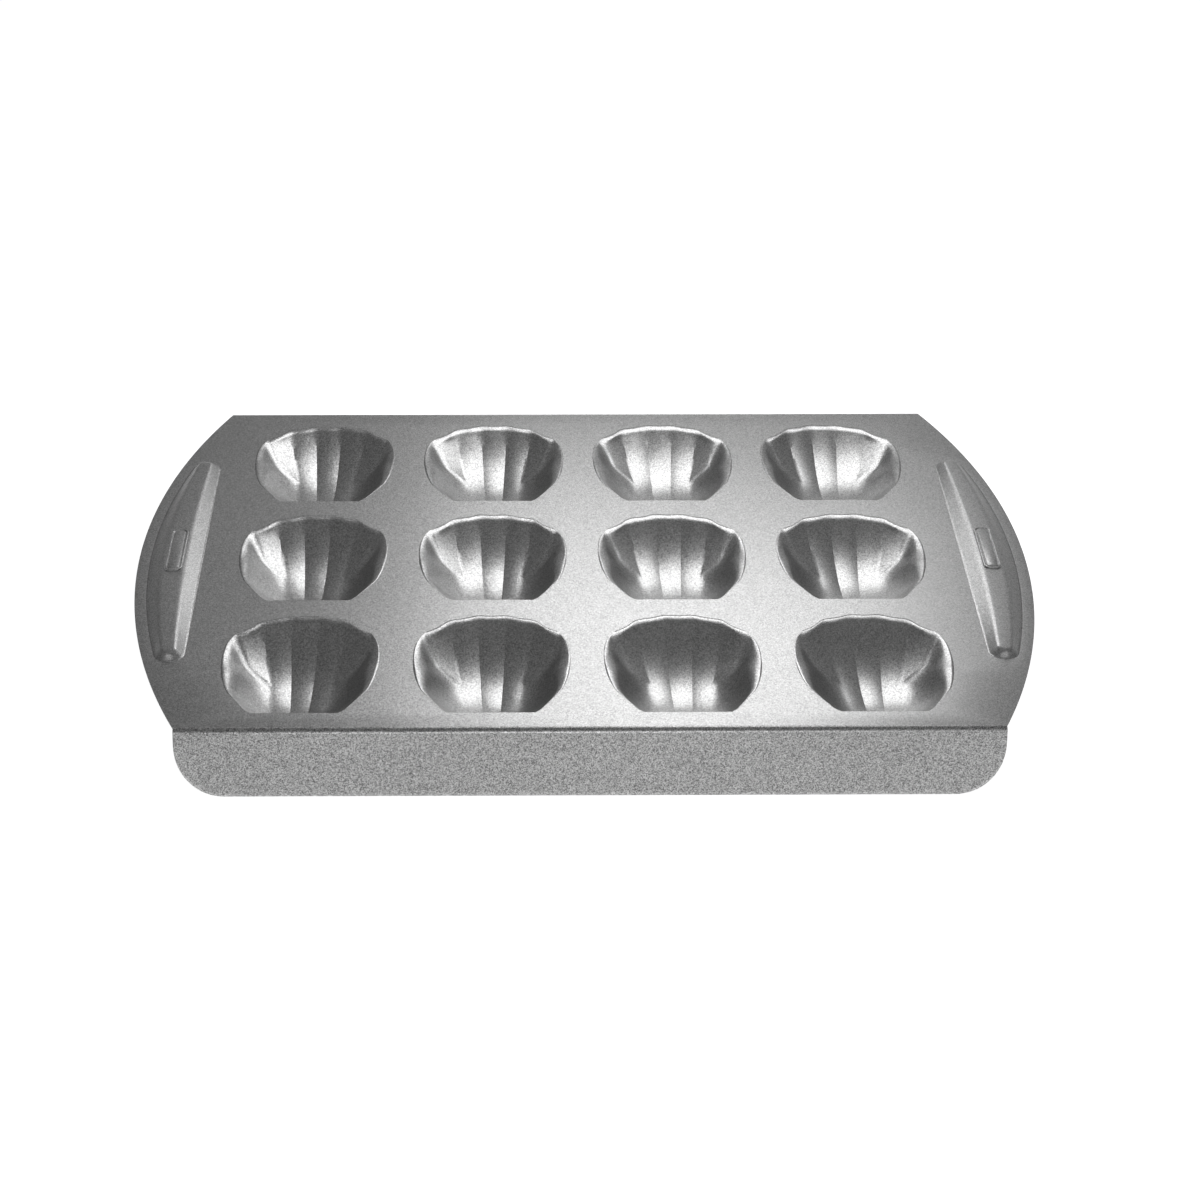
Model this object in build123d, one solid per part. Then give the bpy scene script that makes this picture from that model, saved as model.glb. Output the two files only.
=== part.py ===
from build123d import *
import os
from math import atan2, cos, degrees, radians, sin, sqrt, tan

# A twelve-cup madeleine pan, pressed from one sheet of coated steel.
# Millimetres. +X runs along the pan, +Y away from the front skirt and +Z up.
# The origin lies under the middle of the pan, on the surface that the skirts stand on.

# Sheet and deck
sheet = 0.8
deck_length = 340.0
deck_depth = 255.0
end_sagitta = 29.7
deck_height = 26.8

# Skirts folded down along the front and the rear edge
skirt_slant = 20.0
fold_radius = 2.0
skirt_corner_radius = 20.0

# Grid of cups: as many as the deck takes inside its margins with the least gaps between them
column_margin = 15.1
row_margin = 10.1
least_column_gap = 8.0
least_row_gap = 6.0

# One cup: a shell with a straight hinge edge in front and a fan of ribs at the back
cup_half_width = 33.4
cup_centre_y = 37.3
hinge_half_width = 19.5
hinge_corner_cut = 1.4
hinge_corner_reach = 3.0
shoulder_x = 29.3
shoulder_y = 15.3
cup_depth = 15.6
hinge_roll_radius = 1.2
fan_roll_radius = 5.5
groove_pitch = 21.5
rib_crest_share = 0.028
crest_depth_share = 0.6

# Where each groove leaves the hinge, how far it reaches from the middle of the fan and how deep
# it lies, counted from the middle of the cup outwards
hinge_groove_shares = (0.14, 0.33, 0.6, 0.8)
fan_reach_shares = (1.022, 1.06, 1.07, 1.015)
groove_depth_shares = (1.0, 0.9, 0.76, 0.48)

# The floor of a groove, as a share of its length, and how its two walls curve up from it
floor_share = 0.41
hinge_wall_power = 2.6
fan_wall_power = 2.0
roll_steps = 3
hinge_wall_shares = (0.22, 0.46, 0.72, 1.0)
fan_wall_shares = (0.82, 0.64, 0.48, 0.32, 0.16)

# The side wall between the outermost groove and the rim
side_wall_shares = (0.25, 0.5, 0.75)
side_wall_power = 1.6
side_end_share = 0.925

# Grip ridge pressed up in each rounded end
ridge_deck_margin = 0.8
ridge_rim_margin = 5.2
ridge_height = 3.4
ridge_slope_run = 4.9
ridge_top_corner_radius = 0.8
ridge_end_flat = 0.5
ridge_edge_radius = 1.2

# Bare round-ended plate in the middle of each grip ridge
badge_length = 33.6
badge_width = 8.0
badge_corner_radius = 2.8
badge_height = 0.8
badge_groove_margin = 0.8
badge_groove_width = 0.6
badge_groove_depth = 0.3

# Cutters run this far past what they cut
overrun = 5.0

half_length = deck_length / 2
half_depth = deck_depth / 2
end_radius = (half_depth**2 + end_sagitta**2) / (2 * end_sagitta)
end_centre_x = half_length + end_sagitta - end_radius

cup_width = 2 * cup_half_width
cup_length = cup_centre_y + cup_half_width * fan_reach_shares[0] * cos(radians(groove_pitch / 2))
column_run = deck_length - 2 * column_margin - cup_width
row_run = deck_depth - 2 * row_margin - cup_length
column_count = 1 + int(column_run // (cup_width + least_column_gap))
row_count = 1 + int(row_run // (cup_length + least_row_gap))

ridge_inner_x = half_length + ridge_deck_margin
ridge_outer_radius = end_radius - ridge_rim_margin
ridge_corner_radius = ridge_slope_run + ridge_top_corner_radius
ridge_end_x = ridge_inner_x + 2 * ridge_corner_radius + ridge_end_flat
ridge_half_length = sqrt(ridge_outer_radius**2 - (ridge_end_x - end_centre_x) ** 2)


def save(shape, node):
    export_step(shape, f"parts/{node}.step")


def end_disc(radius, side):
    """A disc whose edge follows the rounded end on one side of the pan."""
    return Pos(side * end_centre_x, 0) * Circle(radius)


def deck_outline():
    """The flat of the deck: straight in front and at the back, round at both ends."""
    band = Rectangle(deck_length + 2 * end_sagitta, deck_depth)
    return band & end_disc(end_radius, 1) & end_disc(end_radius, -1)


def rolled_wall(run_to_floor, depth, power, radius):
    """Slope below a rim's roll, the roll's tangent length and the run that is left for the wall."""
    tangent = 0
    for _ in range(roll_steps):
        slope = atan2(depth * power, run_to_floor - tangent)
        tangent = radius * tan(slope / 2)
    return slope, tangent, run_to_floor - tangent


def roll_stations(slope, radius):
    """Distance from the rim and depth of the stations along a rim's roll."""
    angles = [slope * step / roll_steps for step in range(roll_steps + 1)]
    return [(radius * sin(angle), radius * (1 - cos(angle))) for angle in angles]


def groove_profile(length, depth):
    """Distance from the hinge and depth of the stations along one groove."""
    floor_at = floor_share * length
    slope, tangent, run = rolled_wall(floor_at, depth, hinge_wall_power, hinge_roll_radius)
    stations = roll_stations(slope, hinge_roll_radius)
    for share in hinge_wall_shares:
        stations.append((tangent + share * run, depth * (1 - (1 - share) ** hinge_wall_power)))
    run_to_fan = length - floor_at
    slope, _, run = rolled_wall(run_to_fan, depth, fan_wall_power, fan_roll_radius)
    for share in fan_wall_shares:
        fall = depth * (1 - (1 - share) ** fan_wall_power)
        stations.append((floor_at + (1 - share) * run, fall))
    for away, fall in reversed(roll_stations(slope, fan_roll_radius)):
        stations.append((length - away, fall))
    return stations


def groove_line(order):
    """The points of one groove on the right half of the cup, from the hinge to the fan."""
    near = Vector(hinge_half_width * hinge_groove_shares[order], 0)
    angle = radians(groove_pitch * (order + 1 / 2))
    reach = cup_half_width * fan_reach_shares[order]
    far = Vector(reach * sin(angle), cup_centre_y + reach * cos(angle))
    along = (far - near).normalized()
    depth = cup_depth * groove_depth_shares[order]
    return [
        near + along * distance - Vector(0, 0, fall)
        for distance, fall in groove_profile((far - near).length, depth)
    ]


def side_rim_x(y):
    """Half width of the rim at a distance from the hinge, up to the widest place."""
    if y < shoulder_y:
        straight = hinge_half_width + (shoulder_x - hinge_half_width) * y / shoulder_y
        missing = max(0, 1 - y / hinge_corner_reach)
        return straight - hinge_corner_cut * missing**2
    rise = cup_centre_y - shoulder_y
    bulge = cup_half_width - shoulder_x
    radius = (rise**2 + bulge**2) / (2 * bulge)
    return cup_half_width - radius + sqrt(radius**2 - (y - cup_centre_y) ** 2)


def cup_lines():
    """Lines from hinge to fan over the whole cup, from the left rim to the right rim."""
    right = [groove_line(order) for order in range(len(hinge_groove_shares))]
    outermost = right[-1]
    rim = []
    for point in outermost:
        y = point.Y * side_end_share
        rim.append(Vector(side_rim_x(y), y))
    for share in side_wall_shares:
        wall = []
        for low, high in zip(outermost, rim):
            place = low + (high - low) * share
            fall = low.Z * (1 - share) ** side_wall_power
            wall.append(Vector(place.X, place.Y, fall))
        right.append(wall)
    right.append(rim)
    left = [[Vector(-point.X, point.Y, point.Z) for point in line] for line in reversed(right)]
    return left + right


def outward_vectors(lines):
    """Unit vectors at the points of the lines, pointing out of the cup's hollow."""
    last_line = len(lines) - 1
    last_station = len(lines[0]) - 1
    vectors = []
    for index, line in enumerate(lines):
        row = []
        for station in range(last_station + 1):
            if index in (0, last_line) or station in (0, last_station):
                row.append(Vector(0, 0, -1))
                continue
            along = line[station + 1] - line[station - 1]
            across = lines[index + 1][station] - lines[index - 1][station]
            row.append(along.cross(across).normalized())
        vectors.append(row)
    return vectors


def cup_solid():
    """One cup as a skin of even thickness, with its rims at the height of the deck."""
    lines = cup_lines()
    outward = outward_vectors(lines)
    grooves = len(hinge_groove_shares)
    first_rib = len(lines) // 2 - grooves
    last_rib = len(lines) // 2 + grooves - 2
    stations = range(len(lines[0]))

    def crossing(strip, station, offset):
        """The edge from one line to the next at a station, on either face of the skin."""
        start = lines[strip][station] + outward[strip][station] * offset
        end = lines[strip + 1][station] + outward[strip + 1][station] * offset
        if station in (stations[0], stations[-1]) or not first_rib <= strip <= last_rib:
            return Edge.make_line(start, end)
        direction = (outward[strip][station] + outward[strip + 1][station]).normalized()
        chord = lines[strip + 1][station] - lines[strip][station]
        middle = (lines[strip][station] + lines[strip + 1][station]) / 2
        lift = min(chord.length * rib_crest_share, -middle.Z * crest_depth_share)
        return Edge.make_three_point_arc(start, middle + direction * (offset - lift), end)

    faces = []
    for offset in (0, sheet):
        for strip in range(len(lines) - 1):
            for station in stations[:-1]:
                near = crossing(strip, station, offset)
                far = crossing(strip, station + 1, offset)
                faces.append(Face.make_surface_from_curves(near, far))
    for strip in range(len(lines) - 1):
        for station in (stations[0], stations[-1]):
            top = crossing(strip, station, 0)
            faces.append(Face.make_surface_from_curves(top, crossing(strip, station, sheet)))
    below = Vector(0, 0, -sheet)
    for line in (lines[0], lines[-1]):
        for start, end in zip(line, line[1:]):
            top = Edge.make_line(start, end)
            bottom = Edge.make_line(start + below, end + below)
            faces.append(Face.make_surface_from_curves(top, bottom))
    return Solid(Shell(faces))


def cup_rim_outline():
    """The closed outline of the hole that a cup fills in the deck."""
    lines = cup_lines()
    right_rim = lines[-1]
    fan = [line[-1] for line in reversed(lines[1:-1])]
    left_rim = list(reversed(lines[0]))
    hinge = [line[0] for line in lines[1:-1]]
    return Polygon(*[(p.X, p.Y) for p in right_rim + fan + left_rim + hinge], align=None)


def cup_places():
    """Row, column and hinge position of every cup, from the front left."""
    for row in range(row_count):
        for column in range(column_count):
            x = (column / max(column_count - 1, 1) - 1 / 2) * column_run
            y = (row / max(row_count - 1, 1) - 1 / 2) * row_run - cup_length / 2
            yield row + 1, column + 1, Pos(x, y, deck_height)


def ridge_foot(side):
    """Outline of a grip ridge where it leaves the deck."""
    outer = end_disc(ridge_outer_radius, side)
    reach = half_length + end_sagitta - ridge_inner_x
    band = Pos(side * (ridge_inner_x + reach / 2), 0) * Rectangle(reach, 2 * ridge_half_length)
    outline = outer & band
    return fillet(outline.vertices(), ridge_corner_radius)


def grip_ridge(side):
    """A hollow ridge with sloping walls, open below, standing in its hole in the deck."""
    foot = ridge_foot(side)
    wall_angle = atan2(ridge_height, ridge_slope_run)
    taper = 90 - degrees(wall_angle)
    outer = Pos(0, 0, deck_height) * extrude(foot, ridge_height, taper=taper)
    top = outer.faces().sort_by(Axis.Z)[-1]
    outer = fillet(top.edges(), ridge_edge_radius)
    outer += Pos(0, 0, deck_height - sheet) * extrude(foot, sheet)
    inner_foot = offset(foot, -sheet * tan(wall_angle / 2))
    hollow = Pos(0, 0, deck_height - sheet) * extrude(inner_foot, ridge_height, taper=taper)
    return outer - hollow


def badge_middle(side):
    return side * (ridge_inner_x + half_length + end_sagitta - ridge_rim_margin) / 2


def badge_plate(side):
    """A low plate with a groove round it, lying on the flat top of a grip ridge."""
    place = Pos(badge_middle(side), 0, deck_height + ridge_height)
    outline = RectangleRounded(badge_width, badge_length, badge_corner_radius)
    plate = extrude(outline, badge_height)
    groove_outer = offset(outline, -badge_groove_margin)
    groove_inner = offset(outline, -badge_groove_margin - badge_groove_width)
    groove = extrude(groove_outer - groove_inner, badge_groove_depth)
    return place * (plate - Pos(0, 0, badge_height - badge_groove_depth) * groove)


def deck_solid():
    """The deck with a hole for every cup and for both grip ridges."""
    slab = extrude(deck_outline() - ridge_foot(1) - ridge_foot(-1), sheet)
    slab = Pos(0, 0, deck_height - sheet) * slab
    hole = extrude(cup_rim_outline(), sheet + 2 * overrun)
    for _, _, place in cup_places():
        slab -= place * Pos(0, 0, -sheet - overrun) * hole
    return slab


def skirt_solid(side):
    """A skirt: the fold at the deck's edge and the slanting wall below it, cut level."""
    slant = radians(skirt_slant)
    across = side * cos(slant)
    fold = Vector(0, side * half_depth, deck_height - fold_radius)

    def face_points(radius):
        top = fold + Vector(0, 0, radius)
        half_angle = radians(90 - skirt_slant) / 2
        middle = fold + Vector(0, side * sin(half_angle), cos(half_angle)) * radius
        low = fold + Vector(0, across, sin(slant)) * radius
        foot = low + Vector(0, side * tan(slant), -1) * low.Z
        return top, middle, low, foot

    outer_top, outer_middle, outer_low, outer_foot = face_points(fold_radius)
    inner_top, inner_middle, inner_low, inner_foot = face_points(fold_radius - sheet)
    section = Face(
        Wire(
            [
                Edge.make_three_point_arc(outer_top, outer_middle, outer_low),
                Edge.make_line(outer_low, outer_foot),
                Edge.make_line(outer_foot, inner_foot),
                Edge.make_line(inner_foot, inner_low),
                Edge.make_three_point_arc(inner_low, inner_middle, inner_top),
                Edge.make_line(inner_top, outer_top),
            ]
        )
    )
    bar = Pos(-half_length, 0, 0) * extrude(section, deck_length, dir=(1, 0, 0))
    window = Pos(0, deck_height / 2) * Rectangle(deck_length, deck_height)
    window = fillet(window.vertices().sort_by(Axis.Y)[:2], skirt_corner_radius)
    reach = half_depth + deck_height
    cutter = Plane.XZ * window
    return bar & extrude(cutter, reach, both=True)


os.makedirs("parts", exist_ok=True)
save(deck_solid(), "deck_sheet")
save(skirt_solid(-1), "front_skirt")
save(skirt_solid(1), "rear_skirt")
for name, side in (("left", -1), ("right", 1)):
    save(grip_ridge(side), f"{name}_grip_ridge")
    save(badge_plate(side), f"{name}_badge_plate")
cup = cup_solid()
print("cup valid", cup.is_valid, "volume", round(cup.volume, 1))
for row, column, place in cup_places():
    save(place * cup, f"shell_cup_r{row}c{column}")
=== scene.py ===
import math
import bmesh
import bpy
from mathutils import Matrix, Vector
from mathutils.geometry import delaunay_2d_cdt


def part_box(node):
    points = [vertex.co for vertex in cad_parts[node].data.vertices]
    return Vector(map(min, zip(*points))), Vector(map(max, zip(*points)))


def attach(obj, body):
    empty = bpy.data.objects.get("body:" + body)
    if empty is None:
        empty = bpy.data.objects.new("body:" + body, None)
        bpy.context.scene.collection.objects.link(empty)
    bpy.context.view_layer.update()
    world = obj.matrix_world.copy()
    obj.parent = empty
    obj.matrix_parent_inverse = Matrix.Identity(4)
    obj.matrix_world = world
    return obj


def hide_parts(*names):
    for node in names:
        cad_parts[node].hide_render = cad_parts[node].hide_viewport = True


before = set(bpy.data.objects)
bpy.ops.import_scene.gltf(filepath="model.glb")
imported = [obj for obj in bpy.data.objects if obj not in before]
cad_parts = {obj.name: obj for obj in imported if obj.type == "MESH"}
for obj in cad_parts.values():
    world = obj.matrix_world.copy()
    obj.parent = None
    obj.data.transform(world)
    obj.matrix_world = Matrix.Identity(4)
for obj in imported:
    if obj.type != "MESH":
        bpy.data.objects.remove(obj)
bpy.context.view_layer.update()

# Sizes in metres, the same as the pressed sheet's
MM = 0.001
SHEET = 0.8 * MM
DECK_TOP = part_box("deck_sheet")[1][2]
HALF_LENGTH = 170 * MM
HALF_DEPTH = 127.5 * MM
END_SAGITTA = 29.7 * MM
END_RADIUS = (HALF_DEPTH**2 + END_SAGITTA**2) / (2 * END_SAGITTA)
END_CENTRE_X = HALF_LENGTH + END_SAGITTA - END_RADIUS
CUT_EDGE_RADIUS = 0.25 * MM
CUT_EDGE_STEPS = 3
END_STEPS = 72
DECK_SHARP_ANGLE = math.radians(35)
DECK_MERGE_DISTANCE = 0.002 * MM
ALL_TRIANGLES = 0
TRIANGLE_TOLERANCE = 0.001 * MM

SKIRT_SLANT = math.radians(20)
FOLD_RADIUS = 3 * MM
SOLID_FOLD_RADIUS = 2 * MM
FOLD_SHIFT = (FOLD_RADIUS - SOLID_FOLD_RADIUS) * (1 - math.sin(SKIRT_SLANT)) / math.cos(SKIRT_SLANT)
FOLD_Y = HALF_DEPTH - FOLD_SHIFT
SKIRT_CORNER_RADIUS = 20 * MM
EDGE_TURN_REACH = 1.4 * MM
EDGE_TURN_DROP = 0.3 * MM
EDGE_TURN_STEPS = 6
SKIRT_LENGTH_STEPS = 60
SKIRT_CORNER_STEPS = 24
SKIRT_WALL_STEPS = 14
FOLD_STEPS = 12

COLUMN_COUNT = 4
ROW_COUNT = 3
COLUMN_MARGIN = 15.1 * MM
ROW_MARGIN = 10.1 * MM

CUP_HALF_WIDTH = 33.4 * MM
CUP_CENTRE_Y = 37.3 * MM
HINGE_HALF_WIDTH = 19.5 * MM
HINGE_CORNER_CUT = 1.4 * MM
HINGE_CORNER_REACH = 3 * MM
SHOULDER_X = 29.3 * MM
SHOULDER_Y = 15.3 * MM
CUP_DEPTH = 15.6 * MM
HINGE_ROLL_RADIUS = 1.2 * MM
FAN_ROLL_RADIUS = 8 * MM
SIDE_ROLL_RADIUS = 9 * MM
GROOVE_PITCH = math.radians(21.5)
HINGE_GROOVE_SHARES = (0.14, 0.33)
FAN_REACH_SHARES = (1.022, 1.06, 1.045)
GROOVE_DEPTH_SHARES = (1.0, 0.9, 0.76)
FLOOR_SHARE = 0.41
HINGE_WALL_POWER = 2.6
FAN_WALL_POWER = 2.0
SIDE_WALL_POWER = 1.7
ROLL_STEPS = 6
HINGE_WALL_STEPS = 12
FAN_WALL_STEPS = 24
RIB_STEPS = 8
SIDE_WALL_STEPS = 14
RIB_CREST_SHARE = 0.034
OUTER_CREST_SHARE = 0
RIB_FADE_DEPTH = 1.6 * MM
RIM_NOTCH_SHARE = 0.1
TOE_SOFT_REACH = 8 * MM
TOE_SOFT_PASSES = 14
TOE_SOFT_SHARE = 0.8
RIM_SOFT_DEPTH = 4 * MM
RIM_SOFT_PASSES = 4
RIM_SOFT_SHARE = 0.5
CUP_MERGE_DISTANCE = 0.01 * MM
CUP_SHARP_ANGLE = math.radians(24)

# The outer rib on each side starts at a toe, part of the way from the hinge to the fan
TOE_X = 19.8 * MM
TOE_Y = 36.6 * MM
TOE_START_Y = 37.6 * MM
TOE_RUN = 7 * MM
SIDE_LAG = 7 * MM
SIDE_LAG_POWER = 0.7

RIDGE_DECK_MARGIN = 0.8 * MM
RIDGE_RIM_MARGIN = 5.2 * MM
RIDGE_HEIGHT = 3.4 * MM
RIDGE_CORNER_RADIUS = 5.7 * MM
RIDGE_END_FLAT = 0.5 * MM
RIDGE_SPINE_SHARE = 0.35
RIDGE_OUTER_SLOPE_SHARE = 0.5
RIDGE_CROWN_SHARE = 0.25
RIDGE_RAMP_FOOT = 0.14
RIDGE_RAMP_TOP = 0.34
RIDGE_STEPS = 24
RIDGE_OUTER_STEPS = 64
RIDGE_INNER_STEPS = 48
RIDGE_CORNER_STEPS = 12
RIDGE_INNER_X = HALF_LENGTH + RIDGE_DECK_MARGIN
RIDGE_OUTER_RADIUS = END_RADIUS - RIDGE_RIM_MARGIN
RIDGE_END_X = RIDGE_INNER_X + 2 * RIDGE_CORNER_RADIUS + RIDGE_END_FLAT
RIDGE_HALF_LENGTH = math.sqrt(RIDGE_OUTER_RADIUS**2 - (RIDGE_END_X - END_CENTRE_X) ** 2)

BADGE_LENGTH = 33.6 * MM
BADGE_WIDTH = 8 * MM
BADGE_CORNER_RADIUS = 2.8 * MM
BADGE_HEIGHT = 0.8 * MM
BADGE_EDGE_RADIUS = 0.5 * MM
BADGE_GROOVE_MARGIN = 0.8 * MM
BADGE_GROOVE_WIDTH = 0.9 * MM
BADGE_GROOVE_DEPTH = 0.45 * MM
BADGE_CORNER_STEPS = 10
BADGE_EDGE_STEPS = 4
BADGE_GROOVE_STEPS = 8

# Coating: mean tone, how much the flakes differ from it in tone, and roughness. It is one coating in
# three copies: the stronger flake contrast of the cup and skirt copies is painted sparkle, and the
# cups' slightly lower mean tone is painted shade
DECK_COATING = (0.42, 0.14, 0.41)
# Cups: painted shade in a slightly lower mean tone, and painted sparkle in a stronger flake contrast
# than the deck's
CUP_COATING_PAINTED_SHADE_AND_SPARKLE = (0.41, 0.17, 0.34)
# Skirt: painted sparkle in the strongest flake contrast
SKIRT_COATING_PAINTED_SPARKLE = (0.42, 0.27, 0.38)
FLAKES_PER_METRE = 2900
FLAKE_TILT = 0.05
FLAKE_ROUGHNESS = 0.03
CLOUDS_PER_METRE = 14
CLOUD_DETAIL = 4
CLOUD_TONE = 0.05

# Studio: brightness of the surroundings low behind, low in front and overhead
BACK_LEVEL = 0.62
FRONT_LEVEL = 0.55
TOP_LEVEL = 0.17
FRONT_BLEND = 0.2
# How bright the low surroundings are from the far left to the far right
SIDE_TONES = ((0, 0.28), (0.25, 0.35), (0.5, 1), (0.66, 1), (0.85, 0.5), (1, 0.35))
FLOOR_REACH = 12
FLOOR_TONE = 0.9
FLOOR_LIFT = 0.8

# Camera, with its height over the deck
CAMERA_SENSOR = 36
CAMERA_LENS = 71.139
CAMERA_SHIFT = 0.0583
CAMERA_X = -0.03116
CAMERA_Y = -0.895285
CAMERA_RISE = 0.58747
CAMERA_TURN = -0.0084272
CAMERA_FALL = 0.599429
CAMERA_ROLL = 0.00189134


# Mesh helpers
def finished_piece(name, mesh, coating):
    """Links a mesh as a smooth piece of the pan that rides on the root body."""
    mesh.shade_smooth()
    piece = bpy.data.objects.new(name, mesh)
    bpy.context.scene.collection.objects.link(piece)
    mesh.materials.append(coating)
    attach(piece, "root")
    return piece


def add_thickness(piece):
    """Gives a one-sided skin the thickness of the sheet, on its lower side."""
    shell = piece.modifiers.new("sheet", "SOLIDIFY")
    shell.thickness = SHEET
    shell.offset = -1


def grid_mesh(name, rows):
    """A skin of quads through rows of points that all have the same length."""
    mesh = bpy.data.meshes.new(name)
    width = len(rows[0])
    points = [tuple(point) for row in rows for point in row]
    quads = []
    for i in range(len(rows) - 1):
        for j in range(width - 1):
            a = i * width + j
            quads.append((a, a + 1, a + width + 1, a + width))
    mesh.from_pydata(points, [], quads)
    mesh.update()
    return mesh


def ring_mesh(name, rings):
    """A skin through closed rings of points, with the last ring filled."""
    mesh = bpy.data.meshes.new(name)
    count = len(rings[0])
    points = [tuple(point) for ring in rings for point in ring]
    faces = []
    for i in range(len(rings) - 1):
        for j in range(count):
            k = (j + 1) % count
            faces.append((i * count + j, i * count + k, (i + 1) * count + k, (i + 1) * count + j))
    faces.append(tuple((len(rings) - 1) * count + j for j in range(count)))
    mesh.from_pydata(points, [], faces)
    mesh.update()
    return mesh


# Shell cups
def rolled_end(run, depth, power, radius):
    """Slope, tangent length and remaining run of a curved wall with a rolled rim."""
    radius = min(radius, run / 2)
    tangent = 0
    for _ in range(ROLL_STEPS):
        slope = math.atan2(depth * power, run - tangent)
        tangent = radius * math.tan(slope / 2)
    return slope, tangent, run - tangent, radius


def wall_stations(run, depth, power, radius, steps):
    """Distance from the rim and depth of the stations down a wall, to its level foot."""
    slope, tangent, left, radius = rolled_end(run, depth, power, radius)
    stations = []
    for step in range(ROLL_STEPS + 1):
        angle = slope * step / ROLL_STEPS
        stations.append((radius * math.sin(angle), radius * (1 - math.cos(angle))))
    first = tangent * math.cos(slope) / left
    for step in range(1, steps + 1):
        rest = (1 - first) * (1 - step / steps)
        stations.append((tangent + (1 - rest) * left, depth * (1 - rest**power)))
    return stations


def groove_line(near, far, depth):
    """The points of a groove from the hinge down to the floor and up to the fan."""
    length = (far - near).length
    along = (far - near).normalized()
    floor_at = FLOOR_SHARE * length
    hinge = wall_stations(floor_at, depth, HINGE_WALL_POWER, HINGE_ROLL_RADIUS, HINGE_WALL_STEPS)
    fan = wall_stations(length - floor_at, depth, FAN_WALL_POWER, FAN_ROLL_RADIUS, FAN_WALL_STEPS)
    profile = hinge + [(length - distance, fall) for distance, fall in reversed(fan[:-1])]
    return [near + along * distance - Vector((0, 0, fall)) for distance, fall in profile]


def fan_point(order):
    """Where a groove of the right half meets the rim of the fan."""
    angle = GROOVE_PITCH * (order + 0.5)
    reach = CUP_HALF_WIDTH * FAN_REACH_SHARES[order]
    return Vector((reach * math.sin(angle), CUP_CENTRE_Y + reach * math.cos(angle), 0))


def side_rim_x(y):
    """Half width of the rim from the hinge to the widest place."""
    if y < SHOULDER_Y:
        straight = HINGE_HALF_WIDTH + (SHOULDER_X - HINGE_HALF_WIDTH) * y / SHOULDER_Y
        missing = max(0, 1 - y / HINGE_CORNER_REACH)
        return straight - HINGE_CORNER_CUT * missing**2
    rise = CUP_CENTRE_Y - SHOULDER_Y
    bulge = CUP_HALF_WIDTH - SHOULDER_X
    radius = (rise**2 + bulge**2) / (2 * bulge)
    return CUP_HALF_WIDTH - radius + math.sqrt(radius**2 - (y - CUP_CENTRE_Y) ** 2)


def smooth_share(value):
    """A value held between 0 and 1, eased at both ends."""
    share = min(max(value, 0), 1)
    return share * share * (3 - 2 * share)


def toe_line(groove):
    """The foot of the side wall: the outer full groove up to the toe, then the short one."""
    far = fan_point(2)
    toe = Vector((TOE_X, TOE_Y, 0))
    near = toe - (far - toe) * (TOE_Y / (far.y - toe.y))
    short = groove_line(near, far, CUP_DEPTH * GROOVE_DEPTH_SHARES[2])
    last_y = groove[-1].y
    line = []
    for point in groove:
        y = TOE_Y + (far.y - TOE_Y) * (point.y - TOE_START_Y) / (last_y - TOE_START_Y)
        place = point_at(short, max(y, TOE_Y))
        blend = smooth_share((point.y - TOE_START_Y) / TOE_RUN)
        line.append(point.lerp(place, blend))
    return line


def point_at(line, y):
    """The point of a line at a distance from the hinge."""
    for before, after in zip(line, line[1:]):
        if after.y >= y > before.y or after is line[-1]:
            share = min(max((y - before.y) / (after.y - before.y), 0), 1)
            return before.lerp(after, share)


def rib_lines(left, right, crest_share):
    """Lines across one rib between its two grooves, rising a little towards the middle."""
    lines = []
    last = len(left) - 1
    for step in range(1, RIB_STEPS):
        share = step / RIB_STEPS
        line = []
        for i, (a, b) in enumerate(zip(left, right)):
            before, after = max(i - 1, 0), min(i + 1, last)
            along = (left[after] + right[after]) - (left[before] + right[before])
            inward = (b - a).cross(along)
            place = a.lerp(b, share)
            if inward.length > 0:
                inward.normalize()
                if inward.z < 0:
                    inward.negate()
                level = min(1, -place.z / RIB_FADE_DEPTH)
                back = Vector((0, CUP_CENTRE_Y, 0)) - Vector((place.x, place.y, 0))
                back = back.normalized() * smooth_share(2 * i / last - 1)
                lift = (b - a).length * 4 * share * (1 - share)
                place += inward * level * lift * crest_share
                place += back * (1 - level) * lift * RIM_NOTCH_SHARE
            line.append(place)
        lines.append(line)
    return lines


def side_lines(foot):
    """Lines over the side wall, from next to its foot to the rim."""
    last_y = foot[-1].y
    columns = []
    for base in foot:
        lag = SIDE_LAG * math.sin(math.pi * (base.y / last_y) ** SIDE_LAG_POWER)
        rim_y = max(0, base.y - lag)
        rim_x = side_rim_x(rim_y) if rim_y < CUP_CENTRE_Y else fan_side_x(rim_y)
        rim = Vector((rim_x, rim_y, 0))
        flat = Vector((base.x, base.y, 0))
        run = (rim - flat).length
        inwards = (flat - rim).normalized() if run > 0 else Vector((0, 0, 0))
        radius = SIDE_ROLL_RADIUS * smooth_share(rim_y / CUP_CENTRE_Y)
        radius = max(radius, HINGE_ROLL_RADIUS)
        wall = wall_stations(max(run, SHEET), -base.z, SIDE_WALL_POWER, radius, SIDE_WALL_STEPS)
        column = [rim + inwards * min(distance, run) - Vector((0, 0, fall)) for distance, fall in wall]
        columns.append(column)
    return [[column[j] for column in columns] for j in range(len(columns[0]) - 2, -1, -1)]


def fan_side_x(y):
    """Half width of the rim beyond the widest place, up to the corner of the fan."""
    corner = fan_point(2)
    share = (y - CUP_CENTRE_Y) / (corner.y - CUP_CENTRE_Y)
    return CUP_HALF_WIDTH - (CUP_HALF_WIDTH - corner.x) * share**3


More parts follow.
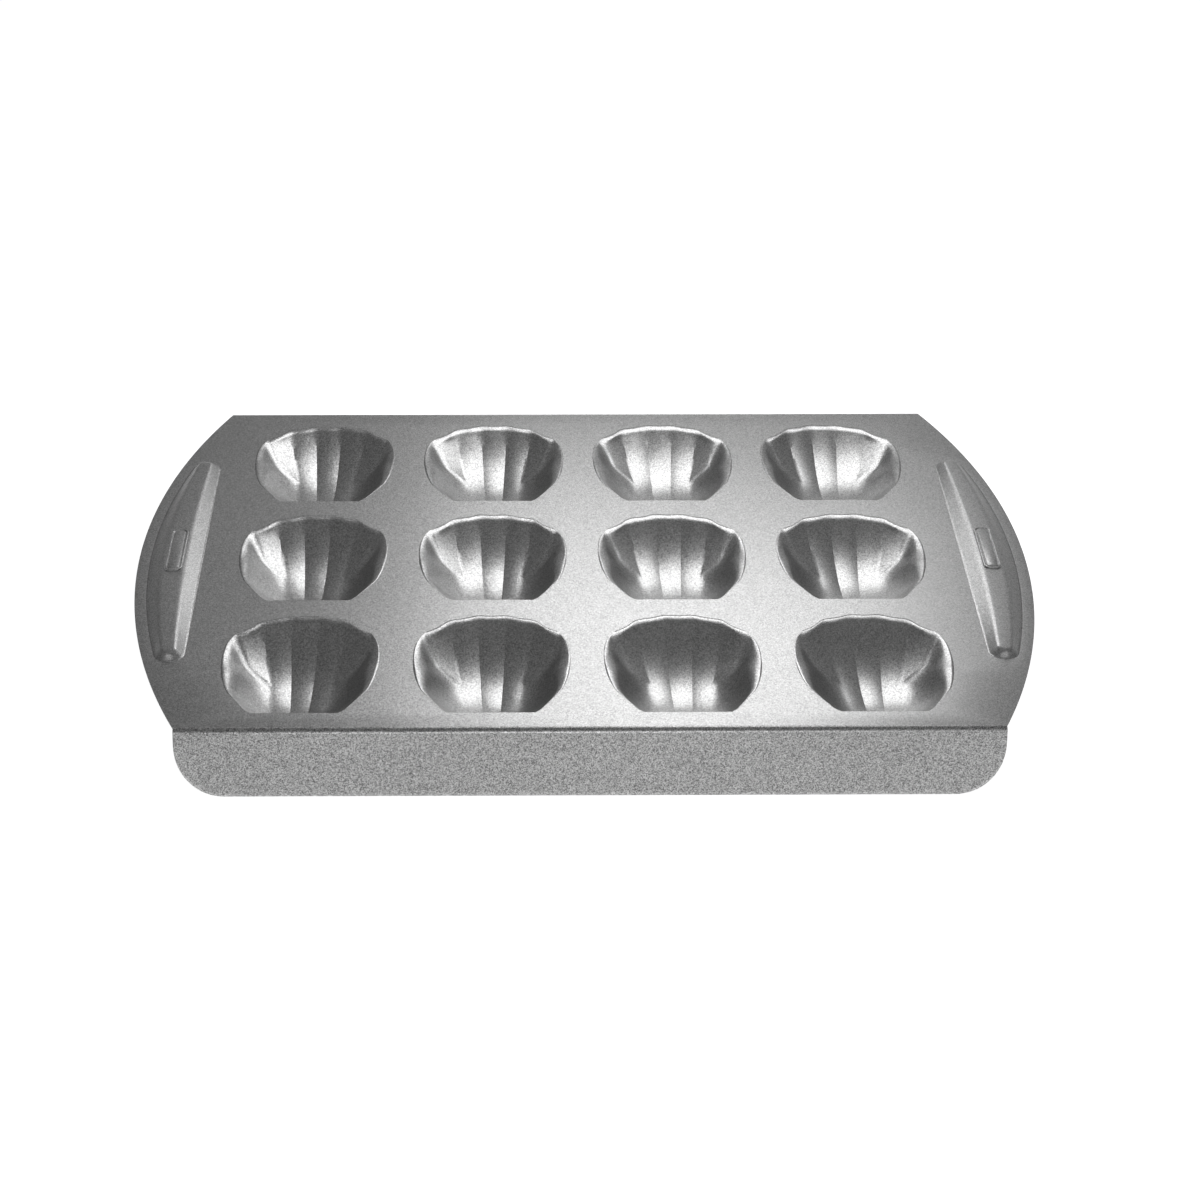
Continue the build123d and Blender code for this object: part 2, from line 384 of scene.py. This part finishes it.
def cup_lines():
    """All lines from hinge to fan, from the left rim of the cup to the right rim."""
    grooves = []
    for order in range(2):
        near = Vector((HINGE_HALF_WIDTH * HINGE_GROOVE_SHARES[order], 0, 0))
        depth = CUP_DEPTH * GROOVE_DEPTH_SHARES[order]
        grooves.append(groove_line(near, fan_point(order), depth))
    foot = toe_line(grooves[1])
    right = [grooves[0]] + rib_lines(grooves[0], grooves[1], RIB_CREST_SHARE) + [grooves[1]]
    right += rib_lines(grooves[1], foot, OUTER_CREST_SHARE) + [foot] + side_lines(foot)
    left = [[Vector((-p.x, p.y, p.z)) for p in line] for line in reversed(right)]
    whole = left + rib_lines(left[-1], right[0], RIB_CREST_SHARE) + right
    return soften_fan(soften_toes(whole, point_at(grooves[1], TOE_START_Y).x))


def soften_fan(lines):
    """Round the corners that the grooves make where they run out into the fan's rim."""
    for _ in range(RIM_SOFT_PASSES):
        softer = [lines[0]]
        for before, line, after in zip(lines, lines[1:], lines[2:]):
            row = []
            for low, point, high in zip(before, line, after):
                depth = RIM_SOFT_DEPTH * (1 + (point.x / CUP_HALF_WIDTH) ** 2)
                near_rim = smooth_share(1 + point.z / depth)
                on_fan = smooth_share((point.y - CUP_CENTRE_Y) / RIM_SOFT_DEPTH)
                row.append(point.lerp((low + high) / 2, RIM_SOFT_SHARE * near_rim * on_fan))
            softer.append(row)
        lines = softer + [lines[-1]]
    return lines


def soften_toes(lines, foot_x):
    """Ease the side wall over the toes into the rib above them."""
    for _ in range(TOE_SOFT_PASSES):
        softer = [lines[0]]
        for before, line, after in zip(lines, lines[1:], lines[2:]):
            row = [line[0]]
            for i in range(1, len(line) - 1):
                point = line[i]
                near = smooth_share(1 - abs(point.y - TOE_START_Y) / TOE_SOFT_REACH)
                near *= smooth_share((abs(point.x) - foot_x) / TOE_RUN)
                mean = (line[i - 1] + line[i + 1] + before[i] + after[i]) / 4
                row.append(point.lerp(mean, TOE_SOFT_SHARE * near))
            softer.append(row + [line[-1]])
        lines = softer + [lines[-1]]
    return lines


def cup_rim(lines):
    """The closed outline of the cup at deck height, anticlockwise."""
    fan = [line[-1] for line in reversed(lines[1:-1])]
    hinge = [line[0] for line in lines[1:-1]]
    points = lines[-1] + fan + list(reversed(lines[0])) + hinge
    outline = []
    for point in points:
        if not outline or (point - outline[-1]).length > CUP_MERGE_DISTANCE:
            outline.append(point)
    return outline


def cup_places():
    """Name and place of each cup, with the middle of its hinge at the place."""
    width = HALF_LENGTH - COLUMN_MARGIN - CUP_HALF_WIDTH
    length = fan_point(0).y
    row_run = 2 * (HALF_DEPTH - ROW_MARGIN) - length
    for row in range(ROW_COUNT):
        for column in range(COLUMN_COUNT):
            x = (2 * column / (COLUMN_COUNT - 1) - 1) * width
            y = (row / (ROW_COUNT - 1) - 0.5) * row_run - length / 2
            yield f"r{row + 1}c{column + 1}", Vector((x, y, DECK_TOP))


def make_cups(lines):
    for name, place in cup_places():
        rows = [[point + place for point in line] for line in reversed(lines)]
        mesh = grid_mesh(f"cup_{name}", rows)
        bm = bmesh.new()
        bm.from_mesh(mesh)
        bmesh.ops.remove_doubles(bm, verts=bm.verts, dist=CUP_MERGE_DISTANCE)
        bm.to_mesh(mesh)
        bm.free()
        piece = finished_piece(f"formed_cup_{name}", mesh, cup_coating_painted_shade_and_sparkle)
        mesh.set_sharp_from_angle(angle=CUP_SHARP_ANGLE)
        add_thickness(piece)
        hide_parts(f"shell_cup_{name}")


# Grip ridges and the plates on them
def arc_points(centre_x, centre_y, radius, start, end, steps):
    """Points of an arc with the unit vectors that point inwards."""
    points = []
    for step in range(steps + 1):
        angle = start + (end - start) * step / steps
        out = Vector((math.cos(angle), math.sin(angle), 0))
        points.append((Vector((centre_x, centre_y, 0)) + out * radius, -out))
    return points


def ridge_outline():
    """Outline of the right grip ridge's foot, anticlockwise."""
    corner = RIDGE_CORNER_RADIUS
    steps = RIDGE_CORNER_STEPS
    corner_y = RIDGE_HALF_LENGTH - corner
    corner_x = END_CENTRE_X + math.sqrt((RIDGE_OUTER_RADIUS - corner) ** 2 - corner_y**2)
    reach = math.atan2(corner_y, corner_x - END_CENTRE_X)
    inner_x = RIDGE_INNER_X + corner
    quarter = math.pi / 2
    arcs = arc_points(END_CENTRE_X, 0, RIDGE_OUTER_RADIUS, -reach, reach, RIDGE_OUTER_STEPS)
    arcs += arc_points(corner_x, corner_y, corner, reach, quarter, steps)[1:]
    arcs += arc_points(inner_x, corner_y, corner, quarter, 2 * quarter, steps)
    outline = [point for point, _ in arcs]
    for step in range(1, RIDGE_INNER_STEPS):
        y = corner_y * (1 - 2 * step / RIDGE_INNER_STEPS)
        outline.append(Vector((RIDGE_INNER_X, y, 0)))
    arcs = arc_points(inner_x, -corner_y, corner, 2 * quarter, 3 * quarter, steps)
    arcs += arc_points(corner_x, -corner_y, corner, 3 * quarter, 4 * quarter - reach, steps)[:-1]
    return outline + [point for point, _ in arcs]


def ridge_width(y):
    """Width of a ridge's foot, held level over its round ends."""
    reach = RIDGE_HALF_LENGTH - RIDGE_CORNER_RADIUS
    y = min(max(y, -reach), reach)
    return END_CENTRE_X + math.sqrt(RIDGE_OUTER_RADIUS**2 - y**2) - RIDGE_INNER_X


def ridge_ramp(share):
    """A slope of a ridge, rounded into the deck and into its top."""
    steepest = 1 / (1 - (RIDGE_RAMP_FOOT + RIDGE_RAMP_TOP) / 2)
    if share < RIDGE_RAMP_FOOT:
        return steepest * share**2 / (2 * RIDGE_RAMP_FOOT)
    if share < 1 - RIDGE_RAMP_TOP:
        return steepest * (share - RIDGE_RAMP_FOOT / 2)
    return 1 - steepest * (1 - share) ** 2 / (2 * RIDGE_RAMP_TOP)


def ridge_rise(share, outer_share):
    """Height of a ridge at a share of the way from its foot to its spine."""
    inner = ridge_ramp(share)
    slope = ridge_ramp(min(share / RIDGE_OUTER_SLOPE_SHARE, 1))
    crown = 1 - (1 - share) ** 2
    outer = slope + (crown - slope) * RIDGE_CROWN_SHARE
    return RIDGE_HEIGHT * (inner + (outer - inner) * outer_share)


def ridge_level(x, y):
    """Height of a ridge over the deck at a place on it, away from its ends."""
    width = ridge_width(y)
    across = (abs(x) - RIDGE_INNER_X) / width
    if across < RIDGE_SPINE_SHARE:
        return ridge_rise(across / RIDGE_SPINE_SHARE, 0)
    return ridge_rise((1 - across) / (1 - RIDGE_SPINE_SHARE), 1)


def ridge_ring(outline, share):
    """A ring of the right ridge, at a share of the way from its foot to its spine."""
    reach = RIDGE_HALF_LENGTH - RIDGE_CORNER_RADIUS
    ring = []
    for point in outline:
        y = min(max(point.y, -reach), reach)
        width = ridge_width(y)
        spine = Vector((RIDGE_INNER_X + width * RIDGE_SPINE_SHARE, y, 0))
        outer_share = smooth_share((point.x - RIDGE_INNER_X) / width)
        rise = ridge_rise(share, outer_share)
        ring.append(point.lerp(spine, share) + Vector((0, 0, DECK_TOP + rise)))
    return ring


def make_ridges():
    outline = ridge_outline()
    for name, side in (("left", -1), ("right", 1)):
        rings = []
        for step in range(RIDGE_STEPS):
            ring = ridge_ring(outline, step / RIDGE_STEPS)
            ring = [Vector((side * p.x, p.y, p.z)) for p in ring]
            rings.append(ring if side > 0 else list(reversed(ring)))
        mesh = ring_mesh(f"{name}_ridge", rings)
        piece = finished_piece(f"formed_{name}_ridge", mesh, deck_coating)
        add_thickness(piece)
        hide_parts(f"{name}_grip_ridge")


def badge_outline():
    """Outline of a plate about its own middle, anticlockwise."""
    radius = BADGE_CORNER_RADIUS
    corner_x = BADGE_WIDTH / 2 - radius
    corner_y = BADGE_LENGTH / 2 - radius
    quarter = math.pi / 2
    outline = []
    for turn, (right, up) in enumerate(((1, 1), (-1, 1), (-1, -1), (1, -1))):
        start, end = turn * quarter, (turn + 1) * quarter
        outline += arc_points(right * corner_x, up * corner_y, radius, start, end, BADGE_CORNER_STEPS)
    return outline


def badge_rings():
    """Inset and height of the rings of a plate: round edge, rim, groove and field."""
    rings = [(0, 0)]
    radius = BADGE_EDGE_RADIUS
    for step in range(BADGE_EDGE_STEPS + 1):
        turn = math.pi / 2 * step / BADGE_EDGE_STEPS
        inset = radius * (1 - math.cos(turn))
        rings.append((inset, BADGE_HEIGHT - radius + radius * math.sin(turn)))
    for step in range(BADGE_GROOVE_STEPS + 1):
        turn = 2 * math.pi * step / BADGE_GROOVE_STEPS
        inset = BADGE_GROOVE_MARGIN + BADGE_GROOVE_WIDTH * step / BADGE_GROOVE_STEPS
        rings.append((inset, BADGE_HEIGHT - BADGE_GROOVE_DEPTH * (1 - math.cos(turn)) / 2))
    return rings


def make_badges():
    outline = badge_outline()
    middle = (RIDGE_INNER_X + HALF_LENGTH + END_SAGITTA - RIDGE_RIM_MARGIN) / 2
    for name, side in (("left", -1), ("right", 1)):
        rings = []
        for inset, level in badge_rings():
            ring = []
            for point, inward in outline:
                place = Vector((side * middle, 0, DECK_TOP + level)) + point + inward * inset
                ring.append(place + Vector((0, 0, ridge_level(place.x, place.y))))
            rings.append(ring)
        mesh = ring_mesh(f"{name}_badge", rings)
        piece = finished_piece(f"formed_{name}_badge", mesh, deck_coating)
        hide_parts(f"{name}_badge_plate")


# Deck
def deck_boundary(inset):
    """Outline of the deck with its cut ends pulled in, anticlockwise from the front left."""
    radius = END_RADIUS - inset
    reach = math.asin(FOLD_Y / radius)
    right = [p for p, _ in arc_points(END_CENTRE_X, 0, radius, -reach, reach, END_STEPS)]
    left = [Vector((-p.x, -p.y, 0)) for p in right]
    return right + left


def inside(loop, x, y):
    """Whether a point lies inside a closed outline."""
    within = False
    for near, far in zip(loop, loop[1:] + loop[:1]):
        if (near.y > y) != (far.y > y):
            if x < near.x + (far.x - near.x) * (y - near.y) / (far.y - near.y):
                within = not within
    return within


def deck_triangles(loops):
    """Points and triangles of the flat deck inside the first loop, with the others as holes."""
    points = []
    edges = []
    for loop in loops:
        first = len(points)
        points += [Vector((p.x, p.y)) for p in loop]
        edges += [(first + j, first + (j + 1) % len(loop)) for j in range(len(loop))]
    flat = delaunay_2d_cdt(points, edges, [], ALL_TRIANGLES, TRIANGLE_TOLERANCE)
    solid = []
    for face in flat[2]:
        x = sum(flat[0][j].x for j in face) / len(face)
        y = sum(flat[0][j].y for j in face) / len(face)
        if inside(loops[0], x, y) and not any(inside(loop, x, y) for loop in loops[1:]):
            solid.append(face)
    return flat[0], solid


def cut_edge_profile():
    """Inset and height of the rings down the rounded cut edge of the deck."""
    turns = [math.pi / 2 * step / CUT_EDGE_STEPS for step in range(CUT_EDGE_STEPS + 1)]
    bend = [(CUT_EDGE_RADIUS * (1 - math.sin(a)), CUT_EDGE_RADIUS * (1 - math.cos(a))) for a in turns]
    profile = [(inset, DECK_TOP - fall) for inset, fall in bend]
    return profile + [(inset, DECK_TOP - SHEET + rise) for inset, rise in reversed(bend)]


def make_deck(lines):
    """The flat deck: its top and bottom have a hole for each cup and grip ridge."""
    loops = [deck_boundary(CUT_EDGE_RADIUS)]
    loops += [[p + place for p in cup_rim(lines)] for _, place in cup_places()]
    ridge = ridge_outline()
    loops += [[Vector((side * p.x, p.y, 0)) for p in ridge] for side in (-1, 1)]
    points, triangles = deck_triangles(loops)
    bm = bmesh.new()
    for level, up in ((DECK_TOP, True), (DECK_TOP - SHEET, False)):
        verts = [bm.verts.new((p.x, p.y, level)) for p in points]
        for face in triangles:
            corners = [verts[j] for j in face]
            bm.faces.new(corners if up else list(reversed(corners)))
    rims = []
    for inset, level in cut_edge_profile():
        rims.append([bm.verts.new((p.x, p.y, level)) for p in deck_boundary(inset)])
    for upper, lower in zip(rims, rims[1:]):
        for j in range(len(upper)):
            k = (j + 1) % len(upper)
            bm.faces.new((upper[j], lower[j], lower[k], upper[k]))
    bmesh.ops.remove_doubles(bm, verts=bm.verts, dist=DECK_MERGE_DISTANCE)
    mesh = bpy.data.meshes.new("deck")
    bm.to_mesh(mesh)
    bm.free()
    piece = finished_piece("formed_deck", mesh, deck_coating)
    mesh.set_sharp_from_angle(angle=DECK_SHARP_ANGLE)
    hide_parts("deck_sheet")


# Skirts
def skirt_columns():
    """Place along the deck of each line down a skirt, and how far its foot is off the table."""
    straight_x = HALF_LENGTH - SKIRT_CORNER_RADIUS
    columns = []
    for step in range(SKIRT_LENGTH_STEPS + 1):
        columns.append((straight_x * (2 * step / SKIRT_LENGTH_STEPS - 1), 0))
    for step in range(1, SKIRT_CORNER_STEPS + 1):
        angle = math.pi / 2 * step / SKIRT_CORNER_STEPS
        x = straight_x + SKIRT_CORNER_RADIUS * math.sin(angle)
        low = SKIRT_CORNER_RADIUS * (1 - math.cos(angle))
        columns.append((x, low))
        columns.insert(0, (-x, low))
    return columns


def wall_distances(length):
    """Places down the wall of a skirt, close together where its edge turns in."""
    plain = length - EDGE_TURN_REACH
    places = [plain * step / SKIRT_WALL_STEPS for step in range(1, SKIRT_WALL_STEPS + 1)]
    for step in range(1, EDGE_TURN_STEPS + 1):
        places.append(length - EDGE_TURN_REACH * (1 - step / EDGE_TURN_STEPS))
    return places


def make_skirt(name, side):
    """The fold and the slanting wall, whose lower corners are round."""
    slant_sin, slant_cos = math.sin(SKIRT_SLANT), math.cos(SKIRT_SLANT)
    fold_z = DECK_TOP - FOLD_RADIUS
    wall_z = fold_z + FOLD_RADIUS * slant_sin
    wall_y = FOLD_Y + FOLD_RADIUS * slant_cos
    normal = Vector((0, slant_cos, slant_sin))
    rows = []
    for x, low in skirt_columns():
        row = []
        for step in range(FOLD_STEPS + 1):
            turn = math.pi / 2 - (math.pi / 2 - SKIRT_SLANT) * step / FOLD_STEPS
            y = FOLD_Y + FOLD_RADIUS * math.cos(turn)
            row.append(Vector((x, y, fold_z + FOLD_RADIUS * math.sin(turn))))
        length = (wall_z - low - EDGE_TURN_DROP * slant_sin) / slant_cos
        for distance in wall_distances(length):
            point = Vector((x, wall_y + distance * slant_sin, wall_z - distance * slant_cos))
            near = max(0, 1 - (length - distance) / EDGE_TURN_REACH)
            row.append(point - normal * EDGE_TURN_DROP * near**2)
        rows.append([Vector((p.x, side * p.y, p.z)) for p in row])
    if side > 0:
        rows.reverse()
    mesh = grid_mesh(f"{name}_skirt", rows)
    piece = finished_piece(f"formed_{name}_skirt", mesh, skirt_coating_painted_sparkle)
    add_thickness(piece)
    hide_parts(f"{name}_skirt")


# Materials
def node(tree, kind, **values):
    """A new node with some of its properties set."""
    made = tree.nodes.new(kind)
    for key, value in values.items():
        setattr(made, key, value)
    return made


def coated_steel(name, mean_tone, flake_tone, roughness):
    """Satin silver-grey coating whose metallic flakes differ in tone by an amount."""
    material = bpy.data.materials.new(name)
    material.use_nodes = True
    tree = material.node_tree
    link = tree.links.new
    shader = tree.nodes["Principled BSDF"]
    shader.inputs["Metallic"].default_value = 1
    coords = node(tree, "ShaderNodeTexCoord")
    flake = node(tree, "ShaderNodeTexVoronoi", feature="F1")
    flake.inputs["Scale"].default_value = FLAKES_PER_METRE
    link(coords.outputs["Object"], flake.inputs["Vector"])
    cloud = node(tree, "ShaderNodeTexNoise")
    cloud.inputs["Scale"].default_value = CLOUDS_PER_METRE
    cloud.inputs["Detail"].default_value = CLOUD_DETAIL
    link(coords.outputs["Object"], cloud.inputs["Vector"])
    split = node(tree, "ShaderNodeSeparateColor")
    link(flake.outputs["Color"], split.inputs["Color"])
    tone = node(tree, "ShaderNodeMapRange")
    tone.inputs["To Min"].default_value = mean_tone - flake_tone
    tone.inputs["To Max"].default_value = mean_tone + flake_tone
    link(split.outputs["Red"], tone.inputs["Value"])
    soft = node(tree, "ShaderNodeMapRange")
    soft.inputs["To Min"].default_value = 1 - CLOUD_TONE
    soft.inputs["To Max"].default_value = 1 + CLOUD_TONE
    link(cloud.outputs["Fac"], soft.inputs["Value"])
    product = node(tree, "ShaderNodeMath", operation="MULTIPLY")
    link(tone.outputs["Result"], product.inputs[0])
    link(soft.outputs["Result"], product.inputs[1])
    link(product.outputs["Value"], shader.inputs["Base Color"])
    rough = node(tree, "ShaderNodeMapRange")
    rough.inputs["To Min"].default_value = roughness - FLAKE_ROUGHNESS
    rough.inputs["To Max"].default_value = roughness + FLAKE_ROUGHNESS
    link(split.outputs["Green"], rough.inputs["Value"])
    link(rough.outputs["Result"], shader.inputs["Roughness"])
    centred = node(tree, "ShaderNodeVectorMath", operation="SUBTRACT")
    centred.inputs[1].default_value = (0.5, 0.5, 0.5)
    link(flake.outputs["Color"], centred.inputs[0])
    tilt = node(tree, "ShaderNodeVectorMath", operation="SCALE")
    tilt.inputs["Scale"].default_value = FLAKE_TILT
    link(centred.outputs["Vector"], tilt.inputs[0])
    surface = node(tree, "ShaderNodeNewGeometry")
    leaning = node(tree, "ShaderNodeVectorMath", operation="ADD")
    link(surface.outputs["Normal"], leaning.inputs[0])
    link(tilt.outputs["Vector"], leaning.inputs[1])
    unit = node(tree, "ShaderNodeVectorMath", operation="NORMALIZE")
    link(leaning.outputs["Vector"], unit.inputs[0])
    link(unit.outputs["Vector"], shader.inputs["Normal"])
    return material


def white_seen_by(tree, *outputs):
    """One factor that is 1 for a ray with any of these Light Path outputs."""
    path = node(tree, "ShaderNodeLightPath")
    factor = path.outputs[outputs[0]]
    for name in outputs[1:]:
        either = node(tree, "ShaderNodeMath", operation="MAXIMUM")
        tree.links.new(factor, either.inputs[0])
        tree.links.new(path.outputs[name], either.inputs[1])
        factor = either.outputs["Value"]
    return factor


def floor_material():
    """White floor that stays white to the camera and in reflections, but keeps a shadow."""
    material = bpy.data.materials.new("studio_floor")
    material.use_nodes = True
    tree = material.node_tree
    tree.nodes.clear()
    output = node(tree, "ShaderNodeOutputMaterial")
    paint = node(tree, "ShaderNodeBsdfDiffuse")
    paint.inputs["Color"].default_value = (FLOOR_TONE, FLOOR_TONE, FLOOR_TONE, 1)
    glow = node(tree, "ShaderNodeEmission")
    seen = white_seen_by(tree, "Is Camera Ray", "Is Glossy Ray", "Is Transmission Ray")
    lift = node(tree, "ShaderNodeMath", operation="MULTIPLY")
    lift.inputs[1].default_value = FLOOR_LIFT
    tree.links.new(seen, lift.inputs[0])
    tree.links.new(lift.outputs["Value"], glow.inputs["Strength"])
    total = node(tree, "ShaderNodeAddShader")
    tree.links.new(paint.outputs["BSDF"], total.inputs[0])
    tree.links.new(glow.outputs["Emission"], total.inputs[1])
    tree.links.new(total.outputs["Shader"], output.inputs["Surface"])
    return material


# Studio
def make_floor():
    mesh = bpy.data.meshes.new("studio_floor")
    corners = [(FLOOR_REACH * x, FLOOR_REACH * y, 0) for x, y in ((-1, -1), (1, -1), (1, 1), (-1, 1))]
    mesh.from_pydata(corners, [], [(0, 1, 2, 3)])
    floor = bpy.data.objects.new("studio_floor", mesh)
    bpy.context.scene.collection.objects.link(floor)
    mesh.materials.append(floor_material())


def make_world():
    """Pale studio that is brightest low down in the middle and white where it is seen itself."""
    world = bpy.data.worlds.new("studio")
    bpy.context.scene.world = world
    world.use_nodes = True
    tree = world.node_tree
    back = tree.nodes["Background"]
    back.inputs["Color"].default_value = (1, 1, 1, 1)
    coords = node(tree, "ShaderNodeTexCoord")
    split = node(tree, "ShaderNodeSeparateXYZ")
    tree.links.new(coords.outputs["Generated"], split.inputs["Vector"])
    front = node(tree, "ShaderNodeMapRange", interpolation_type="SMOOTHSTEP")
    front.inputs["From Min"].default_value = FRONT_BLEND
    front.inputs["From Max"].default_value = -FRONT_BLEND
    front.inputs["To Min"].default_value = BACK_LEVEL
    front.inputs["To Max"].default_value = FRONT_LEVEL
    tree.links.new(split.outputs["Y"], front.inputs["Value"])
    turned = node(tree, "ShaderNodeMapRange")
    turned.inputs["From Min"].default_value = -1
    tree.links.new(split.outputs["X"], turned.inputs["Value"])
    sides = node(tree, "ShaderNodeValToRGB")
    stops = sides.color_ramp.elements
    stops[0].position, stops[1].position = SIDE_TONES[0][0], SIDE_TONES[-1][0]
    for place, _ in SIDE_TONES[1:-1]:
        stops.new(place)
    for stop, (_, tone) in zip(stops, SIDE_TONES):
        stop.color = (tone, tone, tone, 1)
    tree.links.new(turned.outputs["Result"], sides.inputs["Fac"])
    low = node(tree, "ShaderNodeMath", operation="MULTIPLY")
    tree.links.new(front.outputs["Result"], low.inputs[0])
    tree.links.new(sides.outputs["Color"], low.inputs[1])
    level = node(tree, "ShaderNodeMapRange")
    level.inputs["From Min"].default_value = 1
    level.inputs["From Max"].default_value = 0
    level.inputs["To Min"].default_value = TOP_LEVEL
    tree.links.new(split.outputs["Z"], level.inputs["Value"])
    tree.links.new(low.outputs["Value"], level.inputs["To Max"])
    seen = white_seen_by(tree, "Is Camera Ray", "Is Transmission Ray")
    pick = node(tree, "ShaderNodeMath", operation="MAXIMUM")
    tree.links.new(level.outputs["Result"], pick.inputs[0])
    tree.links.new(seen, pick.inputs[1])
    tree.links.new(pick.outputs["Value"], back.inputs["Strength"])


def soft_light(name, azimuth, elevation, distance, width, height, radiance):
    """A softbox that faces the pan, in a direction from it: azimuth 0 is +Y."""
    light = bpy.data.lights.new(name, "AREA")
    light.shape = "RECTANGLE"
    light.size = width
    light.size_y = height
    light.energy = radiance * math.pi * width * height
    lamp = bpy.data.objects.new(name, light)
    bpy.context.scene.collection.objects.link(lamp)
    a, e = math.radians(azimuth), math.radians(elevation)
    out = Vector((math.sin(a) * math.cos(e), math.cos(a) * math.cos(e), math.sin(e)))
    lamp.location = Vector((0, 0, DECK_TOP)) + out * distance
    lamp.rotation_euler = out.to_track_quat("Z", "Y").to_euler()
    lamp.visible_camera = False


def make_camera():
    """The camera at the photograph's viewing angle."""
    data = bpy.data.cameras.new("camera")
    data.sensor_width = CAMERA_SENSOR
    data.lens = CAMERA_LENS
    data.shift_x = CAMERA_SHIFT
    camera = bpy.data.objects.new("camera", data)
    bpy.context.scene.collection.objects.link(camera)
    place = Matrix.Translation((CAMERA_X, CAMERA_Y, CAMERA_RISE + DECK_TOP))
    turn = Matrix.Rotation(CAMERA_TURN, 4, "Z")
    tilt = Matrix.Rotation(math.pi / 2 - CAMERA_FALL, 4, "X")
    roll = Matrix.Rotation(CAMERA_ROLL, 4, "Z")
    camera.matrix_world = place @ turn @ tilt @ roll
    bpy.context.scene.camera = camera


bpy.context.scene.view_settings.view_transform = "Standard"
deck_coating = coated_steel("deck_coating", *DECK_COATING)
# Cup copy of the coating, darker and more speckled: painted shade and painted sparkle
cup_coating_painted_shade_and_sparkle = coated_steel("cup_coating_painted_shade_and_sparkle", *CUP_COATING_PAINTED_SHADE_AND_SPARKLE)
# Skirt copy of the coating, most speckled: painted sparkle
skirt_coating_painted_sparkle = coated_steel("skirt_coating_painted_sparkle", *SKIRT_COATING_PAINTED_SPARKLE)
lines = cup_lines()
make_deck(lines)
make_cups(lines)
make_ridges()
make_badges()
make_skirt("front", -1)
make_skirt("rear", 1)
make_floor()
make_world()
soft_light(
    "back_box", azimuth=15.8, elevation=51, distance=0.345, width=0.28, height=0.225, radiance=2.95
)
soft_light(
    "front_box", azimuth=178, elevation=31, distance=1.5, width=0.42, height=0.4, radiance=4.4
)
make_camera()
